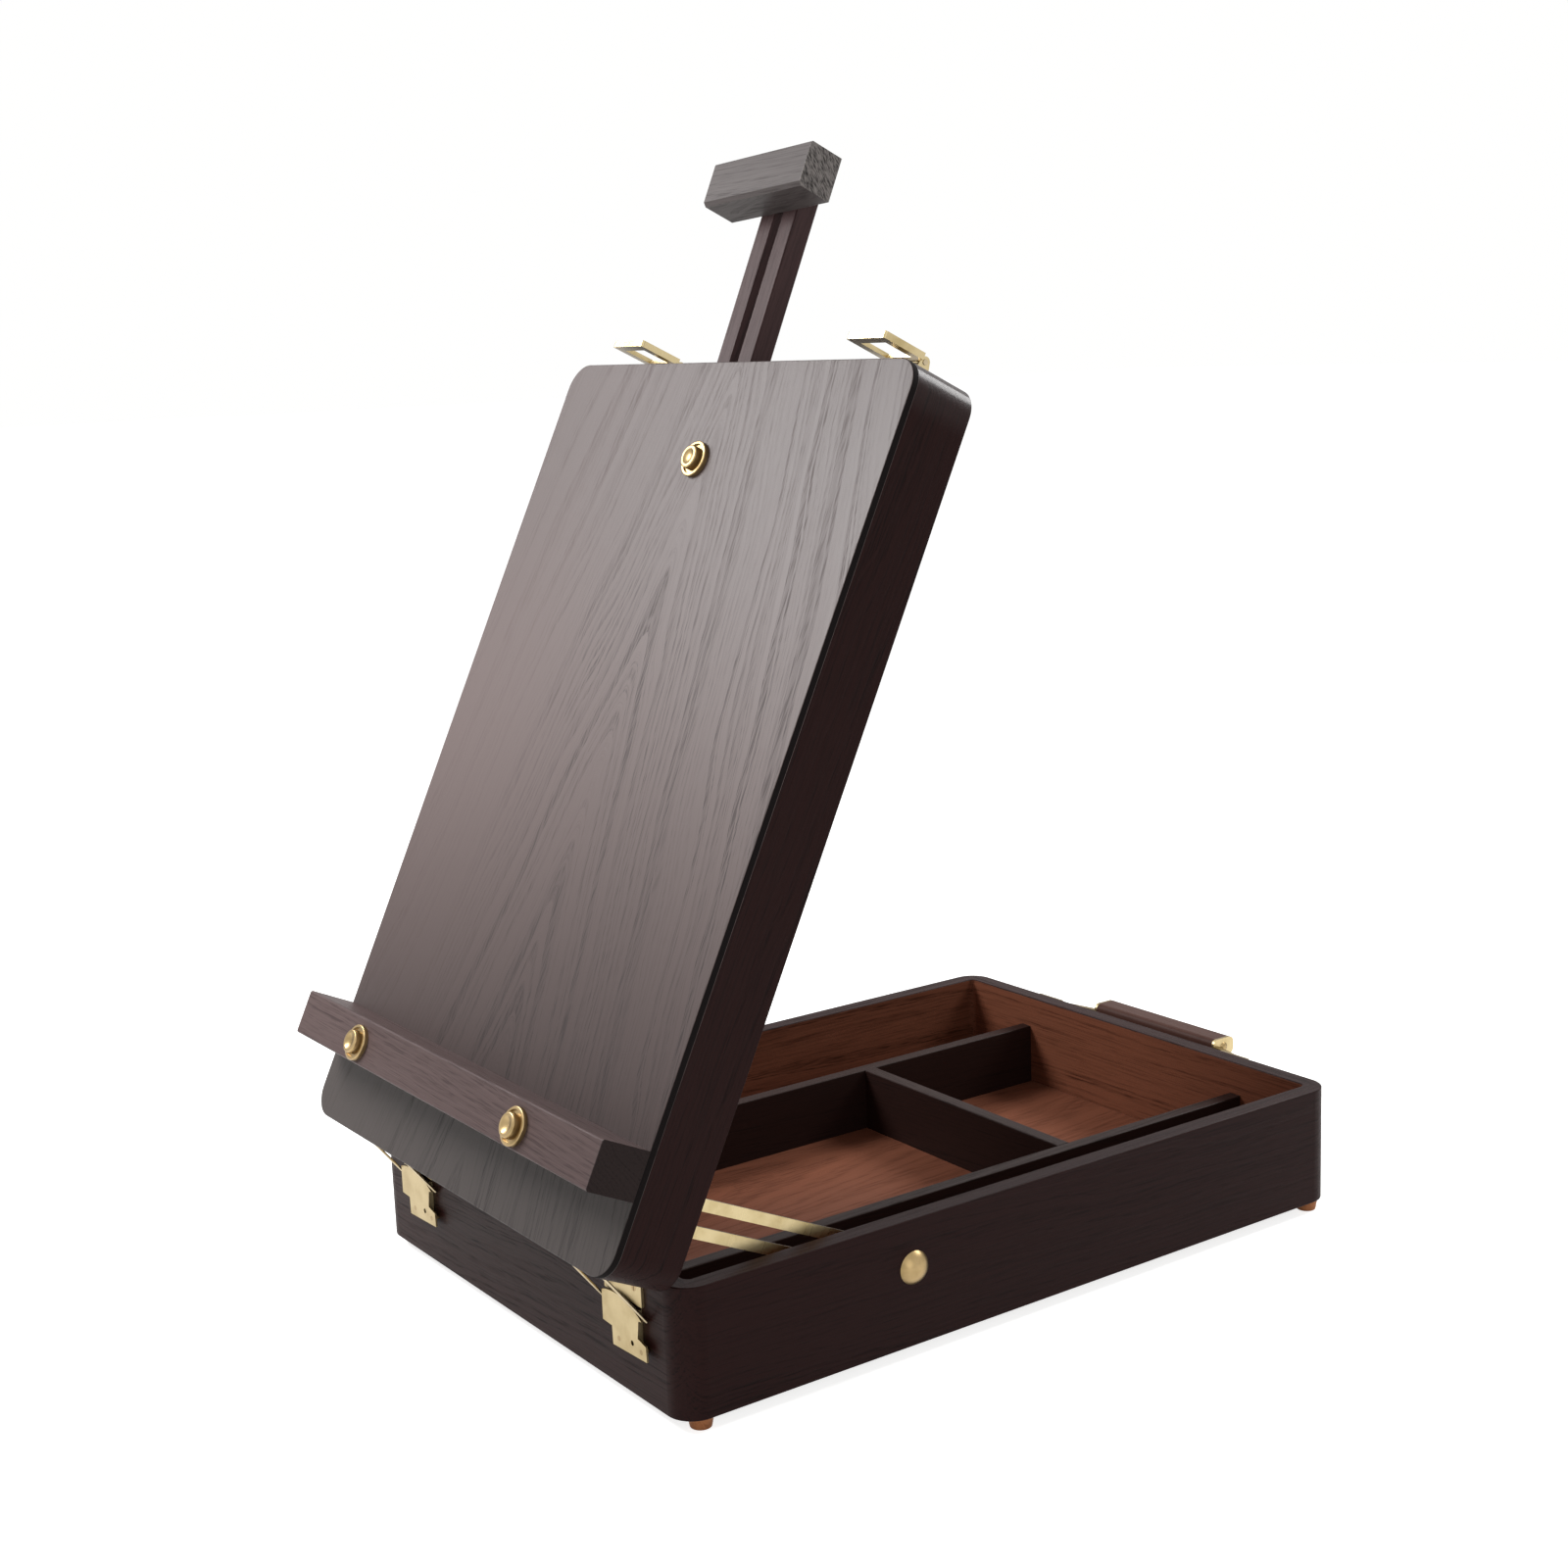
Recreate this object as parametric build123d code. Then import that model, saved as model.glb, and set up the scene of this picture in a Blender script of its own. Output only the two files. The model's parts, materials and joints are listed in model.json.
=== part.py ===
from build123d import *
import os
from math import cos, radians, sin

os.makedirs("parts", exist_ok=True)

# Bench frame used for all sizes below: x runs from the hinge end to the handle end,
# y from the near side to the far side, z up from the underside of the walls.
# Lid frame: the same x and y, z from the lid's rim to its outer face, lid shut.

# Box and lid boards
BOX_L = 365.0
BOX_W = 260.0
WALL_H = 55.0
BOARD_T = 9.0
CORNER_R = 12.0
INNER_R = 3.0
LID_FRAME_H = 29.0
PANEL_T = 3.0
RIM_GAP = 0.3
EDGE_R = 1.0
PANEL_EDGE_R = 0.5
LID_LIP = 4.0
RIM_R = 0.6

# Floor and dividers
FLOOR_Z = 3.0
FLOOR_T = 5.0
GROOVE_D = 4.0
GROOVE_SLACK = 0.2
DIVIDER_TOP = 39.0
DIVIDER_T = 7.0
RAIL_Y = 50.0
FAR_DIVIDER_Y = 203.0
CROSS_DIVIDER_X = 243.5

# Feet
FOOT_TOP_R = 5.3
FOOT_TIP_R = 4.4
FOOT_SHOW = 4.8
FOOT_FROM_END = 11.0
FOOT_FROM_SIDE = 6.0
FOOT_EDGE_R = 0.5

# Fits
RUN = 0.05
GAP = 0.3

# Screws
SCREW_HEAD_R = 2.0
SCREW_R = 1.1
SCREW_LEN = 7.0
SCREW_SLOT_W = 0.5
SCREW_SLOT_D = 0.4
FOOT_SCREW_LEN = 9.5
FOOT_SCREW_SINK = 0.6

# Lid hinges
LID_OPEN = 64.2
AXIS_X = -1.9
AXIS_Z = WALL_H + RIM_GAP / 2
FITTING_IN = 40.0
LEAF_T = 1.2
LEAF_HALF = 14.0
BASE_LEAF_BOTTOM = 40.5
LID_LEAF_H = 22.0
KNUCKLE_R = 1.6
KNUCKLE_MID = 5.55
PIN_R = 0.8
LEAF_SCREW_Y = 8.5
LID_LEAF_SCREW_LEN = 5.0
BASE_LEAF_SCREW_Z = 48.0
LID_LEAF_SCREW_Z = 14.0

# Clasp plates and bails on the hinge end
CLASP_FRONT = 3.0
CLASP_T = 0.8
CLASP_OUTLINE = [
    (13.5, 27.2), (6.6, 26.8), (6.3, 19.0), (-19.0, 20.0), (-18.6, 26.4), (-12.8, 27.9), (-14.0, 35.5),
]
CLASP_ARCH = [(-16.2, 36.0), (0.0, 41.6), (13.4, 40.2)]
CLASP_SIDES = [-12.0, 4.7]
CLASP_SIDE_BOTTOM = 20.5
CLASP_SIDE_TOP = 39.0
CLASP_EYE = (-8.6, 24.6)
CLASP_EYE_R = 1.1
RIVET_R = 1.0
RIVET_IN = 6.0
RIVET_Y = [-15.0, 1.5]
RIVET_Z = 23.0
BAIL_R = 0.6
BAIL_HALF = 16.1
BAIL_SHIFT = 1.1
BAIL_LEG = 29.0
BAIL_X = -1.1
BAIL_Z = 36.0
BAIL_LEAN = 38.0

# Stay bar, its pivot on the lid and its stud on the near wall
STUD_X = 113.5
STUD_Z = 34.0
STUD_R = 1.7
STUD_HEAD_R = 7.25
STUD_HEAD_H = 4.0
STUD_END_Y = 21.5
STAY_Y = 12.0
STAY_T = 1.5
STAY_W = 16.0
STAY_SLOT_W = 6.0
STAY_SLOT_START = 14.0
STAY_WIDE_START = 90.0
STAY_WIDE_W = 9.6
STAY_SLOT_END = 124.5
STAY_END = 128.5
STAY_END_R = 3.0
STAY_DROP = 25.15
STAY_PIVOT_X = 26.0
STAY_PIVOT_Z = 8.0
STAY_PIVOT_R = 2.0
STAY_PIVOT_HEAD_R = 4.0
STAY_PIVOT_HEAD_H = 1.5
STAY_PIVOT_IN = 6.0
STAY_COLLAR_R = 7.0
STAY_SPACER_R = 4.5
WASHER_T = 1.0
NUT_R = 6.0
NUT_H = 6.0
NUT_FLUTES = 14
FLUTE_R = 0.7

# Knobs with their washers
KNOB_R = 5.2
KNOB_H = 3.6
KNOB_SOFT = 0.7
KNOB_DISH_R = 3.6
KNOB_DISH_D = 1.2
KNOB_BORE = 1.6
FLANGE_R = 8.0
FLANGE_T = 2.0
FLANGE_FLOOR = 1.0
FLANGE_RIM = 1.3
FLANGE_SOFT = 0.5

# Ledge with its batten and bolts
LEDGE_X = 28.0
LEDGE_W = 20.0
LEDGE_D = 22.0
LEDGE_BOLT_IN = 8.75
LEDGE_BOLT_SPAN = 142.0
LEDGE_BOLT_R = 2.0
LEDGE_HEAD_R = 6.0
LEDGE_HEAD_H = 2.0
BATTEN_H = 8.0

# Mast with its head block and clamp bolt
MAST_W = 26.0
MAST_T = 10.0
MAST_LEAN = 3.8
MAST_BOLT_IN = 45.0
MAST_BELOW = 180.0
MAST_ABOVE = 136.0
MAST_SLOT_W = 6.5
MAST_SLOT_BELOW = 165.0
MAST_SLOT_ABOVE = 126.0
NOTCH_W = 34.0
MAST_BOLT_R = 2.5
MAST_BOLT_HEAD_R = 8.0
MAST_BOLT_HEAD_H = 2.5
HEAD_L = 70.0
HEAD_H = 20.0
HEAD_T = 17.0
HEAD_CHAMFER = 1.6
HEAD_SCREW_Y = 7.0
HEAD_SCREW_LEN = 19.0

# Hasps on the lid and catches on the box, hooks over the handle end
HASP_PIN_OFF = 9.3
HASP_PIN_Z = 7.0
HASP_PIN_R = 1.2
HASP_KNUCKLE_R = 2.1
HASP_EAR_R = 2.4
HASP_EAR_IN = 8.3
HASP_EAR_T = 1.2
EAR_STEP = 1.0
HASP_PLATE_T = 1.2
HASP_BRACKET_LOW = 1.5
HASP_BRACKET_HIGH = 13.0
HASP_HALF = 12.5
HASP_START = 3.4
HASP_REACH = 25.0
HASP_RIM = 1.8
HASP_WINDOW_HALF = 8.0
HASP_WINDOW_LOW = 6.4
HASP_WINDOW_HIGH = 20.4
HASP_SCREW_Y = 4.5
HASP_SCREW_Z = 10.0
CATCH_HALF = 7.5
CATCH_LOW = 34.5
CATCH_HIGH = 54.0
CATCH_OUT = 7.4
CATCH_HOOK_LOW = 42.5
CATCH_NOSE_Z = 49.5
CATCH_HOOK_HALF = 5.5
CATCH_SCREW_Y = 4.2
CATCH_SCREW_Z = 38.2

# Handle
HANDLE_PIVOT_OFF = 5.0
HANDLE_Z = 49.5
HANDLE_BESIDE_CATCH = 6.5
HANDLE_PIN_R = 1.0
HANDLE_KNUCKLE_R = 2.2
HANDLE_KNUCKLE_HALF = 3.3
HANDLE_EAR_R = 2.4
HANDLE_EAR_IN = 3.6
HANDLE_EAR_T = 1.2
HANDLE_BRACKET_HALF = 9.0
HANDLE_BRACKET_RISE = 5.2
HANDLE_BRACKET_SCREW = 6.8
GRIP_BESIDE_PIVOT = 25.0
GRIP_START = 10.5
GRIP_W = 14.0
GRIP_H = 9.0
GRIP_R = 3.0
ARM_T = 1.6
ARM_NECK = 4.8
ARM_STEP = 1.0
CAP_T = 1.5
CAP_SCREW_R = 1.5
CAP_SCREW_HEAD_R = 2.4
CAP_SCREW_HEAD_H = 1.2
CAP_SCREW_LEN = 12.0


# Places that follow from the sizes
MIDDLE_Y = BOX_W / 2
FITTING_Y = [FITTING_IN, BOX_W - FITTING_IN]
LEDGE_BOLT_Y = [MIDDLE_Y - LEDGE_BOLT_SPAN / 2, MIDDLE_Y + LEDGE_BOLT_SPAN / 2]
handle_in = FITTING_IN + CATCH_HALF + HANDLE_BESIDE_CATCH + HANDLE_BRACKET_HALF
grip_in = handle_in + GRIP_BESIDE_PIVOT
HANDLE_PIVOT_Y = [handle_in, BOX_W - handle_in]
GRIP_Y = [grip_in, BOX_W - grip_in]
MAST_BOLT_X = BOX_L - MAST_BOLT_IN

# Where parts go
AXIS_AT = Pos(AXIS_X, 0, AXIS_Z)
AXIS_BACK = Pos(-AXIS_X, 0, -AXIS_Z)
ON_LID = AXIS_AT * Rot(0, -LID_OPEN, 0) * AXIS_BACK * Pos(0, 0, WALL_H + RIM_GAP)
MAST_AT = Pos(MAST_BOLT_X, MIDDLE_Y, 0) * Rot(0, 0, MAST_LEAN)
PANEL_OUT = LID_FRAME_H + PANEL_T
MAST_FRONT = LID_FRAME_H - GAP
MAST_BACK = MAST_FRONT - MAST_T


def block(x0, x1, y0, y1, z0, z1):
    middle = Pos((x0 + x1) / 2, (y0 + y1) / 2, (z0 + z1) / 2)
    return middle * Box(x1 - x0, y1 - y0, z1 - z0)


def rod_x(r, y, z, x0, x1):
    return Pos((x0 + x1) / 2, y, z) * Rot(0, 90, 0) * Cylinder(r, x1 - x0)


def rod_y(r, x, z, y0, y1):
    return Pos(x, (y0 + y1) / 2, z) * Rot(90, 0, 0) * Cylinder(r, y1 - y0)


def rod_z(r, x, y, z0, z1):
    return Pos(x, y, (z0 + z1) / 2) * Cylinder(r, z1 - z0)


def plate_xz(points, y0, y1):
    """A plate with its outline in x and z, from y0 to y1."""
    face = make_face(Polyline(*points, close=True))
    return Pos(0, y1, 0) * extrude(Plane.XZ * face, y1 - y0)


def plate_xy(points, z0, z1):
    face = make_face(Polyline(*points, close=True))
    return Pos(0, 0, z0) * extrude(face, z1 - z0)


def turn(outline):
    """A turned part: an outline in radius and height spun about z."""
    return revolve(Plane.XZ * make_face(outline), Axis.Z)


def dome(r, h):
    """A round cap standing on z = 0."""
    big = (r * r + h * h) / (2 * h)
    bow = (big * big - r * r / 4) ** 0.5 - (big - h)
    arc = ThreePointArc((r, 0), (r / 2, bow), (0, h))
    return turn(Line((0, 0), (r, 0)) + arc + Line((0, h), (0, 0)))


def ring(r_in, r_out, h):
    return Pos(0, 0, h / 2) * (Cylinder(r_out, h) - Cylinder(r_in, h))


def soft_top(body, soft):
    """Rounds the outer edge of a turned part's top."""
    rim = body.edges().filter_by(GeomType.CIRCLE).group_by(Axis.Z)[-1].sort_by(SortBy.RADIUS)[-1]
    return fillet(rim, soft)


def dished_washer(r_in):
    """A washer with a raised rim around a lower floor."""
    body = ring(r_in, FLANGE_R, FLANGE_T)
    well = Pos(0, 0, (FLANGE_FLOOR + FLANGE_T) / 2) * Cylinder(FLANGE_R - FLANGE_RIM, FLANGE_T - FLANGE_FLOOR)
    return soft_top(body - well, FLANGE_SOFT)


def flush_cone(head_r, shank_r, spare):
    """A countersunk head with its flat face up at z = 0."""
    depth = head_r - shank_r
    return Pos(0, 0, -depth / 2) * Cone(shank_r + spare, head_r + spare, depth)


def flush_screw(head_r=SCREW_HEAD_R, shank_r=SCREW_R, length=SCREW_LEN):
    """A slotted countersunk screw, head flush with z = 0, pointing down."""
    body = flush_cone(head_r, shank_r, 0) + rod_z(shank_r, 0, 0, -length, -(head_r - shank_r))
    slot = block(-head_r, head_r, -SCREW_SLOT_W / 2, SCREW_SLOT_W / 2, -SCREW_SLOT_D, SCREW_SLOT_D)
    return body - slot


def flush_hole(head_r=SCREW_HEAD_R, shank_r=SCREW_R, length=SCREW_LEN):
    deep = rod_z(shank_r + RUN, 0, 0, -length - GAP, 0)
    return flush_cone(head_r, shank_r, RUN) + deep


pieces = {}


def keep(name, solids, at=Pos(0, 0, 0)):
    """Keeps the solids of one node, placed in the bench frame."""
    pieces[name] = [at * solid for solid in solids]


def facing(x, y, z, way):
    """Local up becomes +x for way 1 and -x for way -1."""
    return Pos(x, y, z) * Rot(0, 90 * way, 0)


# Screw places, each list shared by the screws and by every hole they pass
base_leaf_screws = []
lid_leaf_screws = []
catch_screws = []
hasp_screws = []
bracket_screws = []
for y in FITTING_Y:
    for side in (-1, 1):
        base_leaf_screws.append(facing(-LEAF_T, y + side * LEAF_SCREW_Y, BASE_LEAF_SCREW_Z, -1))
        lid_leaf_screws.append(facing(-LEAF_T, y + side * LEAF_SCREW_Y, LID_LEAF_SCREW_Z, -1))
        catch_screws.append(facing(BOX_L + LEAF_T, y + side * CATCH_SCREW_Y, CATCH_SCREW_Z, 1))
        hasp_screws.append(facing(BOX_L + LEAF_T, y + side * HASP_SCREW_Y, HASP_SCREW_Z, 1))
for y in HANDLE_PIVOT_Y:
    for side in (-1, 1):
        at = facing(BOX_L + LEAF_T, y + side * HANDLE_BRACKET_SCREW, HANDLE_Z, 1)
        bracket_screws.append(at)
rivets = [facing(0, y + off, RIVET_Z, -1) for y in FITTING_Y for off in RIVET_Y]
foot_places = [
    (x, y) for x in (FOOT_FROM_END, BOX_L - FOOT_FROM_END) for y in (FOOT_FROM_SIDE, BOX_W - FOOT_FROM_SIDE)
]


def drill(body, places, tool):
    for place in places:
        body = body - place * tool
    return body


def boards(frame, start=0.0):
    """The four mitred boards of a rounded frame: near, far, hinge end, handle end."""
    half = MIDDLE_Y
    cuts = {
        "near": [(start, 0), (BOX_L, 0), (BOX_L - half, half), (start + half, half)],
        "far": [(start, BOX_W), (start + half, half), (BOX_L - half, half), (BOX_L, BOX_W)],
        "hinge": [(start, 0), (start + half, half), (start, BOX_W)],
        "handle": [(BOX_L, 0), (BOX_L, BOX_W), (BOX_L - half, half)],
    }
    return {name: frame & plate_xy(cut, 0, WALL_H) for name, cut in cuts.items()}


def rounded_frame(height, start=0.0):
    """A frame of boards round the middle, from x = start to the handle end."""
    length = BOX_L - start
    outer = RectangleRounded(length, BOX_W, CORNER_R)
    inner = RectangleRounded(length - 2 * BOARD_T, BOX_W - 2 * BOARD_T, INNER_R)
    return Pos(start + length / 2, MIDDLE_Y, 0) * extrude(outer - inner, height)


# Box walls with the floor groove
walls = rounded_frame(WALL_H)
walls = fillet(walls.edges().group_by(Axis.Z)[-1], RIM_R)
walls = fillet(walls.edges().group_by(Axis.Z)[0], RIM_R)
groove_in = BOARD_T - GROOVE_D
floor_top = FLOOR_Z + FLOOR_T
walls = walls - block(
    groove_in, BOX_L - groove_in, groove_in, BOX_W - groove_in, FLOOR_Z, floor_top + GROOVE_SLACK
)
walls = walls - rod_y(STUD_R + RUN, STUD_X, STUD_Z, 0, BOARD_T)
walls = drill(walls, base_leaf_screws + catch_screws + bracket_screws, flush_hole())
rivet_hole = rod_z(RIVET_R + RUN, 0, 0, -RIVET_IN - GAP, CLASP_FRONT)
walls = drill(walls, rivets, rivet_hole)
foot_screw_places = [Pos(x, y, FOOT_SCREW_SINK - FOOT_SHOW) * Rot(180, 0, 0) for x, y in foot_places]
foot_drill = flush_hole(length=FOOT_SCREW_LEN)
walls = drill(walls, foot_screw_places, foot_drill)
for name, board in boards(walls).items():
    keep("base_wall_" + name, [board])

floor_in = groove_in + GROOVE_SLACK
base_floor = block(floor_in, BOX_L - floor_in, floor_in, BOX_W - floor_in, FLOOR_Z, floor_top)
base_floor = drill(base_floor, foot_screw_places, foot_drill)
keep("base_floor", [base_floor])


# Dividers standing on the floor
def divider(x0, x1, y0, y1):
    body = block(x0, x1, y0, y1, floor_top, DIVIDER_TOP)
    along = Axis.X if x1 - x0 > y1 - y0 else Axis.Y
    return fillet(body.edges().filter_by(along).group_by(Axis.Z)[-1], RIM_R)


keep("near_rail", [divider(BOARD_T, BOX_L - BOARD_T, RAIL_Y, RAIL_Y + DIVIDER_T)])
keep("far_divider", [divider(BOARD_T, BOX_L - BOARD_T, FAR_DIVIDER_Y, FAR_DIVIDER_Y + DIVIDER_T)])
cross = divider(CROSS_DIVIDER_X, CROSS_DIVIDER_X + DIVIDER_T, RAIL_Y + DIVIDER_T, FAR_DIVIDER_Y)
keep("cross_divider", [cross])

# Tapered feet screwed to the walls from below
foot_sink = rod_z(SCREW_HEAD_R + RUN, 0, 0, 0, FOOT_SCREW_SINK + GAP)
feet = []
for x, y in foot_places:
    foot = Pos(x, y, -FOOT_SHOW / 2) * Cone(FOOT_TIP_R, FOOT_TOP_R, FOOT_SHOW)
    foot = fillet(foot.edges().group_by(Axis.Z)[0], FOOT_EDGE_R)
    at = Pos(x, y, FOOT_SCREW_SINK - FOOT_SHOW) * Rot(180, 0, 0)
    feet.append(foot - at * (foot_drill + foot_sink))
keep("feet", feet)
foot_screw = flush_screw(length=FOOT_SCREW_LEN)
keep("foot_screws", [place * foot_screw for place in foot_screw_places])


# Lid hinges: leaves, knuckles and pins
def knuckle(y0, y1):
    return rod_y(KNUCKLE_R, AXIS_X, AXIS_Z, y0, y1)


mid_gap = KNUCKLE_MID + GAP
pin_bore = rod_y(PIN_R + RUN, AXIS_X, AXIS_Z, -LEAF_HALF, LEAF_HALF)
sweep_r = KNUCKLE_R + GAP
base_leaf = block(-LEAF_T, 0, -LEAF_HALF, LEAF_HALF, BASE_LEAF_BOTTOM, WALL_H)
base_leaf = base_leaf - rod_y(sweep_r, AXIS_X, AXIS_Z, -mid_gap, mid_gap)
base_leaf = base_leaf + knuckle(-LEAF_HALF, -mid_gap) + knuckle(mid_gap, LEAF_HALF) - pin_bore
lid_leaf_z = WALL_H + RIM_GAP
lid_leaf = block(-LEAF_T, 0, -LEAF_HALF, LEAF_HALF, lid_leaf_z, lid_leaf_z + LID_LEAF_H)
lid_leaf = lid_leaf - rod_y(sweep_r, AXIS_X, AXIS_Z, -LEAF_HALF, -KNUCKLE_MID)
lid_leaf = lid_leaf - rod_y(sweep_r, AXIS_X, AXIS_Z, KNUCKLE_MID, LEAF_HALF)
lid_leaf = lid_leaf + knuckle(-KNUCKLE_MID, KNUCKLE_MID) - pin_bore
lid_leaf = Pos(0, 0, -lid_leaf_z) * lid_leaf
base_leaves = [drill(Pos(0, y, 0) * base_leaf, base_leaf_screws, flush_hole()) for y in FITTING_Y]
lid_leaf_drill = flush_hole(length=LID_LEAF_SCREW_LEN)
lid_leaves = [drill(Pos(0, y, 0) * lid_leaf, lid_leaf_screws, lid_leaf_drill) for y in FITTING_Y]
keep("hinge_base_leaves", base_leaves)
keep("hinge_lid_leaves", lid_leaves, ON_LID)
pin = rod_y(PIN_R, AXIS_X, AXIS_Z, -LEAF_HALF - GAP, LEAF_HALF + GAP)
keep("hinge_pins", [Pos(0, y, 0) * pin for y in FITTING_Y])
keep("hinge_base_screws", [place * flush_screw() for place in base_leaf_screws])
lid_leaf_screw = flush_screw(length=LID_LEAF_SCREW_LEN)
keep("hinge_lid_screws", [place * lid_leaf_screw for place in lid_leaf_screws], ON_LID)

# Clasp plates with two side walls, riveted to the hinge-end wall
outline = Polyline(CLASP_ARCH[2], *CLASP_OUTLINE, CLASP_ARCH[0]) + ThreePointArc(*CLASP_ARCH)
face = Plane.YZ * make_face(outline)
clasp = Pos(-CLASP_FRONT, 0, 0) * extrude(face, CLASP_T)
for inner in CLASP_SIDES:
    clasp = clasp + block(
        -CLASP_FRONT + CLASP_T / 2, 0, inner, inner + CLASP_T, CLASP_SIDE_BOTTOM, CLASP_SIDE_TOP
    )
clasp = clasp - rod_x(CLASP_EYE_R, *CLASP_EYE, -CLASP_FRONT, 0)
clasp = clasp - rod_y(BAIL_R + RUN, BAIL_X, BAIL_Z, CLASP_SIDES[0], CLASP_SIDES[1] + CLASP_T)
clasps = [drill(Pos(0, y, 0) * clasp, rivets, rivet_hole) for y in FITTING_Y]
keep("clasp_plates", clasps)
keep("clasp_rivets", [place * rod_z(RIVET_R, 0, 0, -RIVET_IN, CLASP_FRONT) for place in rivets])

# Wire bails leaning out from the clasp plates
lean = radians(BAIL_LEAN)
tip_x = BAIL_X - BAIL_LEG * sin(lean)
tip_z = BAIL_Z + BAIL_LEG * cos(lean)
bail = rod_y(BAIL_R, tip_x, tip_z, -BAIL_HALF, BAIL_HALF)
bail = bail + rod_y(BAIL_R, BAIL_X, BAIL_Z, -BAIL_HALF, BAIL_HALF)
for y in (-BAIL_HALF, BAIL_HALF):
    bail = bail + Pos(BAIL_X, y, BAIL_Z) * Rot(0, -BAIL_LEAN, 0) * rod_z(BAIL_R, 0, 0, 0, BAIL_LEG)
    bail = bail + Pos(tip_x, y, tip_z) * Sphere(BAIL_R)
    bail = bail + Pos(BAIL_X, y, BAIL_Z) * Sphere(BAIL_R)
for end, y in zip(("near", "far"), FITTING_Y):
    keep("clasp_bail_" + end, [Pos(0, y - BAIL_SHIFT, 0) * bail])

# Stay stud through the near wall, with collar, washer and thumb nut
stud = Rot(90, 0, 0) * dome(STUD_HEAD_R, STUD_HEAD_H) + rod_y(STUD_R, 0, 0, 0, STUD_END_Y)
keep("stay_stud", [Pos(STUD_X, 0, STUD_Z) * stud])
inward = Pos(STUD_X, 0, STUD_Z) * Rot(-90, 0, 0)
collar_h = STAY_Y - GAP - BOARD_T
washer_y = STAY_Y + STAY_T + GAP
keep("stay_collar", [inward * Pos(0, 0, BOARD_T) * ring(STUD_R + RUN, STAY_COLLAR_R, collar_h)])
keep("stay_washer", [inward * Pos(0, 0, washer_y) * ring(STUD_R + RUN, STAY_COLLAR_R, WASHER_T)])
nut = ring(STUD_R + RUN, NUT_R, NUT_H)
for step in PolarLocations(NUT_R + FLUTE_R / 2, NUT_FLUTES):
    nut = nut - step * rod_z(FLUTE_R, 0, 0, 0, NUT_H)
keep("stay_nut", [inward * Pos(0, 0, washer_y + WASHER_T) * nut])

# Stay bar: flat strip with a long slot that widens at the stud
long_end = STAY_END + STAY_W / 2
strip = Pos((STAY_END - STAY_W / 2) / 2, 0) * RectangleRounded(long_end, STAY_W, STAY_END_R)
round_end = Circle(STAY_W / 2)
square_end = Pos(-STAY_W / 4, 0) * Rectangle(STAY_W / 2, STAY_W)
strip = strip - square_end + round_end
narrow_l = STAY_WIDE_START - STAY_SLOT_START + STAY_SLOT_W
narrow_at = STAY_SLOT_START + narrow_l / 2
wide_l = STAY_SLOT_END - STAY_WIDE_START
wide_at = STAY_WIDE_START + wide_l / 2
strip = strip - Pos(narrow_at, 0) * SlotOverall(narrow_l, STAY_SLOT_W)
strip = strip - Pos(wide_at, 0) * RectangleRounded(wide_l, STAY_WIDE_W, STAY_END_R / 2)
strip = strip - Circle(STAY_PIVOT_R + RUN)
bar = Pos(0, STAY_T, 0) * extrude(Plane.XZ * strip, STAY_T)
lid_pivot = Pos(STAY_PIVOT_X, 0, STAY_PIVOT_Z)
# The bar hangs from its lid pivot at its own slope, whatever the slope of the lid
stay_turn = Rot(0, LID_OPEN + STAY_DROP, 0)
keep("stay_bar", [lid_pivot * stay_turn * Pos(0, STAY_Y, 0) * bar], ON_LID)
stay_screw = Rot(-90, 0, 0) * dome(STAY_PIVOT_HEAD_R, STAY_PIVOT_HEAD_H)
stay_screw = Pos(0, washer_y, 0) * stay_screw
stay_screw = stay_screw + rod_y(STAY_PIVOT_R, 0, 0, BOARD_T - STAY_PIVOT_IN, washer_y)
keep("stay_pivot_screw", [lid_pivot * stay_screw], ON_LID)
spacer = Rot(-90, 0, 0) * Pos(0, 0, BOARD_T) * ring(STAY_PIVOT_R + RUN, STAY_SPACER_R, collar_h)
keep("stay_spacer", [lid_pivot * spacer], ON_LID)

# Lid frame boards and the panel on top of them. The lid reaches past the box at the
# hinge end, and the hinge leaves are let into that lip.
frame = rounded_frame(LID_FRAME_H, -LID_LIP)
frame = fillet(frame.edges().group_by(Axis.Z)[0], RIM_R)
for y in FITTING_Y:
    leaf_room = block(
        -LID_LIP, 0, y - LEAF_HALF - GAP, y + LEAF_HALF + GAP, 0, LID_LEAF_H + GAP
    )
    frame = frame - leaf_room
frame = drill(frame, hasp_screws, flush_hole())
frame = drill(frame, lid_leaf_screws, lid_leaf_drill)
screw_room = BOARD_T - STAY_PIVOT_IN - GAP
frame = frame - lid_pivot * rod_y(STAY_PIVOT_R + RUN, 0, 0, screw_room, BOARD_T)
notch = block(
    BOX_L - BOARD_T - GAP, BOX_L, MIDDLE_Y - NOTCH_W / 2, MIDDLE_Y + NOTCH_W / 2,
    MAST_BACK - GAP, LID_FRAME_H,
)
frame = frame - notch
for name, board in boards(frame, -LID_LIP).items():
    keep("lid_board_" + name, [board], ON_LID)

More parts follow.
